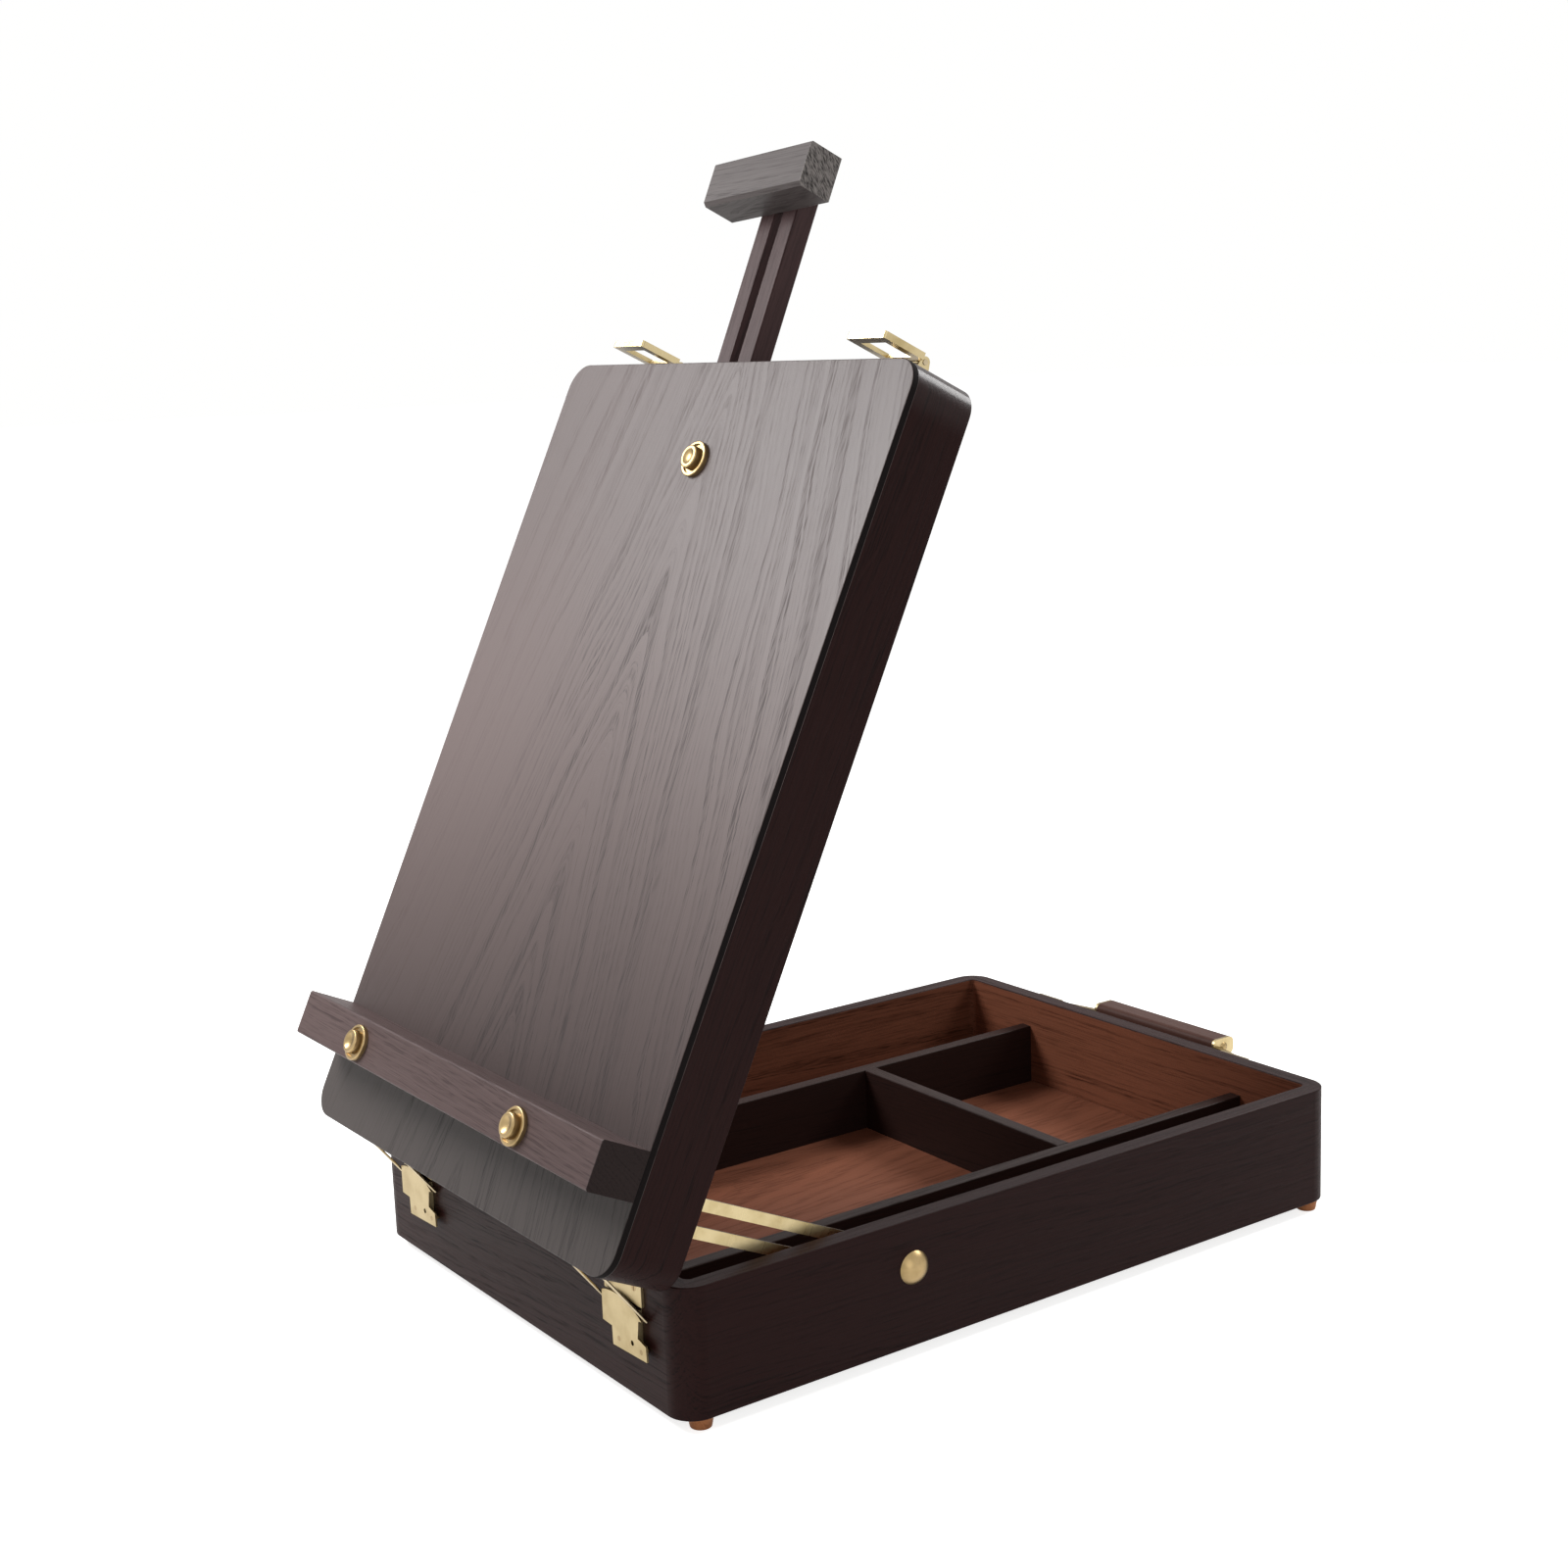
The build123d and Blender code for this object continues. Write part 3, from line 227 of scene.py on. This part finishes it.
def board(name, where, along, light, dark, ring_width=0.004, heart=(0.0, 0.03), taper=0.04,
          wander=0.003, rings=0.8, fibres=0.35, rough=(0.45, 0.6), bump=0.1, second=None,
          shine_level=0.1, pins=0.28, loose=0.12, clouds=0.5, coat=0.0, fade=None, plain=None,
          matt=None, polished=None):
    """A stained board. second lists (mask function, light, dark) for sides that are stained
    differently or carry painted shade. fade is a function of the place on the board that
    darkens its colour with painted shade, plain one that calms its grain, matt a mask where
    it has no lacquer, and polished one where the lacquer is thick and shiny."""
    made = bpy.data.materials.new(name)
    made.use_nodes = True
    tree = made.node_tree
    shader = tree.nodes["Principled BSDF"]
    local, along_grain = placed_in(tree, where, along)
    cut = use(tree, grain, Vector=along_grain, Heart_Across=heart[0], Heart_Depth=heart[1],
              Taper=taper, Ring_Width=ring_width, Wander=wander, Pin_Lines=pins, Loose_Dashes=loose).outputs
    if plain:
        rings = sum_of(tree, "MULTIPLY", plain(tree, local), rings)
    tone = sum_of(tree, "MULTIPLY_ADD", cut["Rings"], rings,
                  sum_of(tree, "MULTIPLY", sum_of(tree, "SUBTRACT", cut["Fibres"], 0.5), fibres))
    drift = sum_of(tree, "MULTIPLY_ADD", cut["Clouds"], clouds, -clouds / 2)
    tone = sum_of(tree, "ADD", tone, drift, clamp=True)
    colour = blend_colour(tree, tone, (*light, 1), (*dark, 1))
    if fade:
        colour = blend_colour(tree, 1.0, colour, fade(tree, local), "MULTIPLY")
    for mask, other_light, other_dark in second or ():
        other = blend_colour(tree, tone, (*other_light, 1), (*other_dark, 1))
        colour = blend_colour(tree, mask(tree, local), colour, other)
    shine = add(tree, "ShaderNodeMapRange", {"Value": cut["Rings"], "To Min": rough[0], "To Max": rough[1]})
    relief = add(tree, "ShaderNodeBump", {"Height": cut["Height"], "Strength": bump, "Distance": PORE_DEPTH})
    feed(tree, shader.inputs["Base Color"], colour)
    roughness = shine.outputs[0]
    if matt:
        roughness = sum_of(tree, "MAXIMUM", roughness, matt(tree, local))
    feed(tree, shader.inputs["Roughness"], roughness)
    feed(tree, shader.inputs["Normal"], relief.outputs[0])
    shader.inputs["Specular IOR Level"].default_value = shine_level
    feed(tree, shader.inputs["Coat Weight"],
         sum_of(tree, "MULTIPLY_ADD", polished(tree, local), HAND_POLISH, coat) if polished else coat)
    shader.inputs["Coat Roughness"].default_value = LACQUER_ROUGH
    return made


# %% [markdown]
# The inside of the box is a warmer, redder wood than the dark outside. Each wall is one
# board with both finishes, so its material asks where the surface lies: inside the
# walls it takes the red stain. The panel works the same way: its face is grey-brown,
# its edge is painted nearly black as painted shade for the seam, and its back is red like the inside.

# %% Masks for sides that are stained differently
def between(tree, value, low, high, soft=0.0001):
    """1 between two values, 0 outside them."""
    up = step_up(tree, value, low - soft, low + soft)
    down = step_up(tree, value, high + soft, high - soft)
    return sum_of(tree, "MULTIPLY", up, down)


def inside_of(x_range, y_range, z_range):
    """A mask that is 1 within a box measured in the board's frame."""
    def mask(tree, local):
        apart = add(tree, "ShaderNodeSeparateXYZ", {"Vector": local}).outputs
        flat = sum_of(tree, "MULTIPLY", between(tree, apart["X"], *x_range),
                      between(tree, apart["Y"], *y_range))
        return sum_of(tree, "MULTIPLY", flat, between(tree, apart["Z"], *z_range))
    return mask


LID_LIP, INTO_WALL = 4 * MM, 0.3 * MM
INSIDE_LOW, INSIDE_HIGH = 2 * MM, 54.6 * MM
RIM_HIGH, PANEL_BACK, PANEL_FACE = 0.5 * MM, 29.2 * MM, 31.85 * MM
ANYWHERE = (-1, 1)
reach_x = BOX_L / 2 - WALL_T + INTO_WALL
reach_y = BOX_W / 2 - WALL_T + INTO_WALL
box_inside = inside_of((-reach_x, reach_x), (-reach_y, reach_y), (INSIDE_LOW, INSIDE_HIGH))
lid_inside = inside_of((WALL_T - LID_LIP - INTO_WALL, BOX_L - WALL_T + INTO_WALL),
                       (WALL_T - INTO_WALL, BOX_W - WALL_T + INTO_WALL), (RIM_HIGH, PANEL_BACK))
panel_edge = inside_of(ANYWHERE, ANYWHERE, (PANEL_BACK, PANEL_FACE))
# The first two tints are painted shade on the panel: a grey painted shadow under the ledge, and a redder
# darkening of the lower half that stands in for the light falling off. The third darkens the handle end a
# little.
LEDGE_SHADOW_TINT, LOWER_PANEL_SHADE, PAST_MIDDLE = (0.46, 0.51, 0.50, 1), (0.43, 0.38, 0.375, 1), (0.58, 0.55, 0.55, 1)
UNCHANGED = (1, 1, 1, 1)


def panel_painted_shade(tree, local):
    """Painted shade on the panel: grey and dark below the ledge, a painted shadow of the ledge,
    then redder above it and darkened less and less up to the middle, painted shade for the
    light falling off towards the bottom, and a little darker again at the handle end."""
    apart = add(tree, "ShaderNodeSeparateXYZ", {"Vector": local}).outputs
    low = blend_colour(tree, step_up(tree, apart["X"], 25 * MM, 60 * MM), LEDGE_SHADOW_TINT, LOWER_PANEL_SHADE)
    lower_half = blend_colour(tree, step_up(tree, apart["X"], 20 * MM, 190 * MM), low, UNCHANGED)
    return blend_colour(tree, step_up(tree, apart["X"], 190 * MM, 340 * MM), lower_half, PAST_MIDDLE)


def panel_plain(tree, local):
    """The far third and the handle end of the panel show hardly any rings."""
    apart = add(tree, "ShaderNodeSeparateXYZ", {"Vector": local}).outputs
    near = step_up(tree, apart["Y"], 215 * MM, 150 * MM)
    low = step_up(tree, apart["X"], 320 * MM, 230 * MM)
    low = sum_of(tree, "MULTIPLY_ADD", low, 0.7, 0.3)
    return sum_of(tree, "MULTIPLY_ADD", sum_of(tree, "MULTIPLY", near, low), 0.85, 0.15)


def lid_corner_shine(tree, local):
    """The lid's rounded near corner at the handle end is polished by many hands."""
    apart = add(tree, "ShaderNodeSeparateXYZ", {"Vector": local}).outputs
    slant = sum_of(tree, "SUBTRACT", apart["X"], apart["Y"])
    return step_up(tree, slant, BOX_L - 22 * MM, BOX_L - 12 * MM)

# %% [markdown]
# Stains are written as plain linear colours, a light one and a dark one for each wood.
# The dark frame is a red walnut stain, the panel a thin grey-brown one that lets the
# grain show, and the inside a red-brown. The ledge's near end is painted darker, painted
# shade for the shadow that end face lies in. The head block's ends stayed bare, so they show pores cut
# across.

# %% Wood materials
FRAME_LIGHT, FRAME_DARK = (0.0215, 0.0060, 0.0054), (0.0060, 0.0018, 0.0017)
INNER_LIGHT, INNER_DARK = (0.195, 0.070, 0.039), (0.060, 0.019, 0.010)
PANEL_LIGHT, PANEL_DARK = (0.150, 0.110, 0.105), (0.062, 0.044, 0.043)
DIVIDER_LIGHT, DIVIDER_DARK = (0.026, 0.012, 0.010), (0.010, 0.005, 0.004)
LEDGE_LIGHT, LEDGE_DARK = (0.128, 0.087, 0.084), (0.046, 0.030, 0.030)
LEDGE_END_SHADE_LIGHT, LEDGE_END_SHADE_DARK = (0.026, 0.016, 0.015), (0.010, 0.006, 0.006)
MAST_LIGHT, MAST_DARK = (0.062, 0.032, 0.032), (0.020, 0.011, 0.011)
HEAD_LIGHT, HEAD_DARK = (0.115, 0.098, 0.096), (0.045, 0.038, 0.037)
BARE_LIGHT, BARE_DARK = (0.31, 0.28, 0.265), (0.035, 0.030, 0.029)
GRIP_LIGHT, GRIP_DARK = (0.075, 0.034, 0.026), (0.024, 0.011, 0.009)
FOOT_LIGHT, FOOT_DARK = (0.50, 0.20, 0.085), (0.26, 0.09, 0.038)
# Painted shade: the panel's edge is painted nearly black for the shadowed seam between the panel and the side
# boards.
SEAM_SHADE = (0.004, 0.002, 0.002)
LEDGE_SKIN = 0.4 * MM
# Painted shade: the ledge's near end face is painted dark for the shadow it lies in.
ledge_end_shade_mask = inside_of(ANYWHERE, (-1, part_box("ledge")[0][1] - south + LEDGE_SKIN), ANYWHERE)
red_inside = [(box_inside, INNER_LIGHT, INNER_DARK)]
red_lid = [(lid_inside, INNER_LIGHT, INNER_DARK)]
woods = {}
for end, along in (("near", "X"), ("far", "X"), ("hinge", "Y"), ("handle", "Y")):
    woods["base_wall_" + end] = board(
        "walnut stain box " + end, box_frame, along, FRAME_LIGHT, FRAME_DARK,
        ring_width=0.005, heart=(0.3, 0.2), taper=0.02, second=red_inside, coat=0.04,
        fibres=1.5, bump=0.25, shine_level=0.06)
    woods["lid_board_" + end] = board(
        "walnut stain lid " + end, lid_frame, along, FRAME_LIGHT, FRAME_DARK,
        ring_width=0.005, heart=(0.4, 0.2), taper=0.02, second=red_lid, coat=0.04,
        fibres=1.5, bump=0.25, shine_level=0.06, polished=lid_corner_shine)
woods["lid_panel"] = board(
    "grey stain panel", lid_frame, "X", PANEL_LIGHT, PANEL_DARK, ring_width=0.009,
    heart=(0.124, -0.027), taper=0.19, wander=0.0065, rings=1.0, fibres=0.10,
    rough=(0.42, 0.58), bump=0.08, shine_level=0.22, pins=0.22, loose=0.03, clouds=0.3,
    fade=panel_painted_shade, plain=panel_plain, matt=panel_edge,
    second=[(panel_edge, SEAM_SHADE, SEAM_SHADE), (lid_inside, INNER_LIGHT, INNER_DARK)])
woods["base_floor"] = board(
    "red stain floor", box_frame, "X", INNER_LIGHT, INNER_DARK, ring_width=0.011,
    heart=(0.05, 0.06), taper=0.05, rings=0.6, rough=(0.5, 0.65), bump=0.15)
for name, along in (("near_rail", "X"), ("far_divider", "X"), ("cross_divider", "Y")):
    woods[name] = board("dark divider " + name, box_frame, along, DIVIDER_LIGHT, DIVIDER_DARK,
                        ring_width=0.004, heart=(0.2, 0.1))
woods["lid_batten"] = board("batten stain", lid_frame, "Y", FRAME_LIGHT, FRAME_DARK, heart=(0.2, 0.1))
woods["ledge"] = board("ledge stain", lid_frame, "Y", LEDGE_LIGHT, LEDGE_DARK,
                       ring_width=0.003, heart=(0.25, 0.1), fibres=0.6,
                       second=[(ledge_end_shade_mask, LEDGE_END_SHADE_LIGHT, LEDGE_END_SHADE_DARK)])
woods["mast"] = board("mast stain", mast_frame, "X", MAST_LIGHT, MAST_DARK,
                      ring_width=0.003, heart=(0.1, 0.06), fibres=0.6)
woods["mast_head"] = board("head block stain", mast_frame, "Y", HEAD_LIGHT, HEAD_DARK,
                           ring_width=0.003, heart=(0.5, 0.1), rings=0.6, fibres=0.7)


HEAD_HALF = 35 * MM
PORE_SIZE = (0.55 * MM, 3 * MM, 2.4 * MM)


def end_grain(made, where, along):
    """Streaks the two sawn ends of a block with slanting rows of cut pores."""
    tree = made.node_tree
    shader = tree.nodes["Principled BSDF"]
    local, _ = placed_in(tree, where)
    apart = add(tree, "ShaderNodeSeparateXYZ", {"Vector": local}).outputs
    at_end = step_up(tree, sum_of(tree, "ABSOLUTE", apart[along]), HEAD_HALF - 0.4 * MM, HEAD_HALF - 0.1 * MM)
    rows = add(tree, "ShaderNodeMapping", {
        "Vector": local, "Rotation": (0, math.radians(40), 0), "Scale": PORE_SIZE}, vector_type="TEXTURE")
    noise = add(tree, "ShaderNodeTexNoise", {"Vector": rows.outputs[0], "Scale": 1.0, "Detail": 3.0})
    pores = noise.outputs["Fac"]
    streaks = blend_colour(tree, step_up(tree, pores, 0.30, 0.64), (*BARE_DARK, 1), (*BARE_LIGHT, 1))
    stained = shader.inputs["Base Color"].links[0].from_socket
    feed(tree, shader.inputs["Base Color"], blend_colour(tree, at_end, stained, streaks))
    relief = add(tree, "ShaderNodeBump", {
        "Height": sum_of(tree, "MULTIPLY", pores, at_end), "Strength": 0.3, "Distance": 0.4 * MM})
    feed(tree, shader.inputs["Normal"], relief.outputs[0])


end_grain(woods["mast_head"], mast_frame, "Y")
woods["handle_grip"] = board("grip stain", box_frame, "Y", GRIP_LIGHT, GRIP_DARK, heart=(0.3, 0.1))
woods["feet"] = board("oiled foot wood", box_frame, "X", FOOT_LIGHT, FOOT_DARK,
                      ring_width=0.002, heart=(0.4, 0.1), rings=0.5)
for name, finish in woods.items():
    for one in nodes[name].material_slots:
        one.material = finish
print("wood finishes:", len(woods))

# %% [markdown]
# The fittings are brass. Turned pieces such as knobs are polished and pick up tiny
# scratches. Pressed sheet is flatter, with drawn lines along it and a slightly duller
# lacquer. One recipe makes them all, with one worn-metal group that gives colour drift
# and scratches. Brass is also painted darker where it turns away from the eye, a painted reflection of darker
# surroundings.

# %% Brass, shared parts first
worn, worn_in, worn_out = group(
    "handled brass",
    [("Vector", VECTOR, None), ("Drift", FLOAT, 0.3), ("Lines", FLOAT, 0.5)],
    [("Tone", FLOAT), ("Scratches", FLOAT)],
)
handled = worn_in.outputs
spots = add(worn, "ShaderNodeTexNoise", {"Vector": handled["Vector"], "Scale": 90.0, "Detail": 4.0})
drawn = add(worn, "ShaderNodeMapping", {"Vector": handled["Vector"], "Scale": (40, 2600, 2600)})
lines = add(worn, "ShaderNodeTexNoise", {"Vector": drawn.outputs[0], "Scale": 1.0, "Detail": 2.0})
feed(worn, worn_out.inputs["Tone"], sum_of(worn, "MULTIPLY", spots.outputs["Fac"], handled["Drift"]))
feed(worn, worn_out.inputs["Scratches"], sum_of(worn, "MULTIPLY", lines.outputs["Fac"], handled["Lines"]))


BRASS_REFLECTION_SHADE = (0.10, 0.062, 0.022)
TURNED_BRIGHT, TURNED_DULL, TURNED_ROUGH = (0.46, 0.33, 0.165), (0.31, 0.22, 0.10), (0.34, 0.46)
SHEET_LINES = 0.8


def brass(name, where, bright, dull, rough, lines=0.5, bump=0.1):
    """Brass between a bright and a dull tone, rougher along its scratches."""
    made = bpy.data.materials.new(name)
    made.use_nodes = True
    tree = made.node_tree
    shader = tree.nodes["Principled BSDF"]
    local, _ = placed_in(tree, where)
    marks = use(tree, worn, Vector=local, Drift=1.0, Lines=lines).outputs
    colour = blend_colour(tree, step_up(tree, marks["Tone"], 0.35, 0.7), (*bright, 1), (*dull, 1))
    # Painted reflection: the brass is painted darker where it turns away from the eye, standing in for darker
    # surroundings mirrored at its edges.
    facing = add(tree, "ShaderNodeLayerWeight", {"Blend": 0.35}).outputs["Facing"]
    colour = blend_colour(tree, step_up(tree, facing, 0.25, 0.85), colour, (*BRASS_REFLECTION_SHADE, 1))
    shine = sum_of(tree, "MULTIPLY_ADD", marks["Scratches"], rough[1] - rough[0], rough[0])
    relief = add(tree, "ShaderNodeBump", {"Height": marks["Scratches"], "Strength": bump, "Distance": 0.0001})
    feed(tree, shader.inputs["Base Color"], colour)
    feed(tree, shader.inputs["Roughness"], shine)
    feed(tree, shader.inputs["Normal"], relief.outputs[0])
    shader.inputs["Metallic"].default_value = 1.0
    return made


polished_box = brass("polished brass box", box_frame, TURNED_BRIGHT, TURNED_DULL, TURNED_ROUGH)
polished_lid = brass("polished brass lid", lid_frame, TURNED_BRIGHT, TURNED_DULL, TURNED_ROUGH)
sheet_box = brass("brass sheet box", box_frame, (0.56, 0.45, 0.25), (0.44, 0.34, 0.17), (0.30, 0.5),
                  SHEET_LINES)
sheet_lid = brass("brass sheet lid", lid_frame, (0.60, 0.49, 0.28), (0.46, 0.36, 0.18), (0.22, 0.42),
                  SHEET_LINES)
wire_brass = brass("brass wire", box_frame, (0.58, 0.48, 0.32), (0.38, 0.31, 0.2), (0.25, 0.4))
slots = {part["node"]: part["material_slot"] for part in record["subparts"]}
ride_with_lid = {"hasp_near", "hasp_far", "ledge_knob_near", "ledge_knob_far", "mast_knob",
                 "mast_bolt", "mast_head_screws", "stay_bar"}
on_lid = set(record["behaviour"]["bodies"]["lid"]) | ride_with_lid
for name, slot in slots.items():
    if name in woods:
        continue
    lid_side = name in on_lid
    if slot == "brass_bright":
        finish = polished_lid if lid_side else polished_box
    elif slot == "steel_wire":
        finish = wire_brass
    else:
        finish = sheet_lid if lid_side else sheet_box
    for one in nodes[name].material_slots:
        one.material = finish
print("brass parts:", sum(1 for name in slots if name not in woods))

# %% [markdown]
# The studio is plain: a pale floor that runs out of sight and a white surround. Both show
# as white to the camera and in reflections, but light the object less, so dark wood stays
# dark and the floor keeps the object's shadow.

# %% Floor and surround
def flat_floor(size):
    """A square floor of one face, centred under the object."""
    mesh = bpy.data.meshes.new("floor")
    half = size / 2
    corners = [(-half, -half, 0), (half, -half, 0), (half, half, 0), (-half, half, 0)]
    mesh.from_pydata(corners, [], [(0, 1, 2, 3)])
    made = bpy.data.objects.new("floor", mesh)
    bpy.context.scene.collection.objects.link(made)
    return made


PAPER_WHITE = (1, 1, 0.995, 1)
floor = flat_floor(30.0)
paper = bpy.data.materials.new("pale floor paper")
paper.use_nodes = True
tree = paper.node_tree
tree.nodes.clear()
seen = add(tree, "ShaderNodeLightPath").outputs
to_eye = sum_of(tree, "MAXIMUM", seen["Is Camera Ray"], seen["Is Glossy Ray"])
ground = add(tree, "ShaderNodeTexCoord").outputs["Object"]
far_off = add(tree, "ShaderNodeVectorMath", {0: ground}, operation="LENGTH").outputs["Value"]
brightness = add(tree, "ShaderNodeMapRange", {
    "Value": far_off, "From Min": 0.5, "From Max": 3.0, "To Min": 0.80, "To Max": 0.95}).outputs["Result"]
matt = add(tree, "ShaderNodeBsdfDiffuse", {"Color": (0.80, 0.80, 0.79, 1)})
glow = add(tree, "ShaderNodeEmission", {
    "Color": PAPER_WHITE, "Strength": sum_of(tree, "MULTIPLY", to_eye, brightness)})
both = add(tree, "ShaderNodeAddShader", {0: matt.outputs[0], 1: glow.outputs[0]})
add(tree, "ShaderNodeOutputMaterial", {"Surface": both.outputs[0]})
floor.data.materials.append(paper)
world = bpy.data.worlds.new("studio surround")
bpy.context.scene.world = world
world.use_nodes = True
tree = world.node_tree
seen = add(tree, "ShaderNodeLightPath").outputs
mirrored = sum_of(tree, "MAXIMUM", seen["Is Glossy Ray"], seen["Is Transmission Ray"])
to_eye = sum_of(tree, "MAXIMUM", seen["Is Camera Ray"], mirrored)
back = tree.nodes["Background"]
feed(tree, back.inputs["Color"], PAPER_WHITE)
feed(tree, back.inputs["Strength"], sum_of(tree, "MULTIPLY_ADD", to_eye, 0.8, 0.2))
print("floor and surround ready")

# %% [markdown]
# Three soft round lamps do the lighting. The key lamp stands high on the left behind the
# panel's far edge: it rakes the panel and leaves the near side dark. The second one, past
# the handle end, lights the open box and glances off the lid's rounded corner. A weak one
# in front opens the shadows a little.

# %% Lamps
def lamp(name, where, aim, size, watts):
    """A round lamp that faces its aim and isn't seen by the camera."""
    data = bpy.data.lights.new(name, "AREA")
    data.shape = "DISK"
    data.size = size
    data.energy = watts
    made = bpy.data.objects.new(name, data)
    bpy.context.scene.collection.objects.link(made)
    made.location = where
    made.rotation_euler = (Vector(aim) - Vector(where)).to_track_quat("-Z", "Y").to_euler()
    made.visible_camera = False
    return made


lamp("key lamp", (-0.55, 0.60, 0.80), (-0.05, 0, 0.26), 0.45, 10)
lamp("box lamp", (0.92, -0.10, 0.86), (0.05, 0, 0.05), 0.5, 9)
lamp("front lamp", (-0.6, -1.2, 0.6), (0, 0, 0.2), 1.0, 2.4)

# %% [markdown]
# The camera stands where the photograph was taken from. Its distance, height and lens
# were solved from the corners of the box, so the picture and the parts line up.

# %% Camera
AZ, EL, ROLL = math.radians(-34.967), math.radians(11.139), math.radians(-2.161)
DIST, FOCUS = 1027.321 * MM, 2314.365
aim = bench + Vector((154.385, 138.457, 210.433)) * MM
backward = Vector((math.sin(AZ) * math.cos(EL), -math.cos(AZ) * math.cos(EL), math.sin(EL)))
level = (-backward).cross(Vector((0, 0, 1))).normalized()
upward = level.cross(-backward)
right = math.cos(ROLL) * level + math.sin(ROLL) * upward
over = -math.sin(ROLL) * level + math.cos(ROLL) * upward
eye = bpy.data.objects.new("camera", bpy.data.cameras.new("camera"))
bpy.context.scene.collection.objects.link(eye)
turn = Matrix((right, over, backward)).transposed().to_4x4()
eye.matrix_world = Matrix.Translation(aim + backward * DIST) @ turn
eye.data.sensor_width = 36.0
eye.data.lens = FOCUS / 1600 * 36.0
bpy.context.scene.camera = eye
bpy.context.scene.view_settings.view_transform = "Standard"
print("camera", round(DIST, 3), "m away, lens", round(eye.data.lens, 1), "mm")

# %% Finish
print("scene ready")
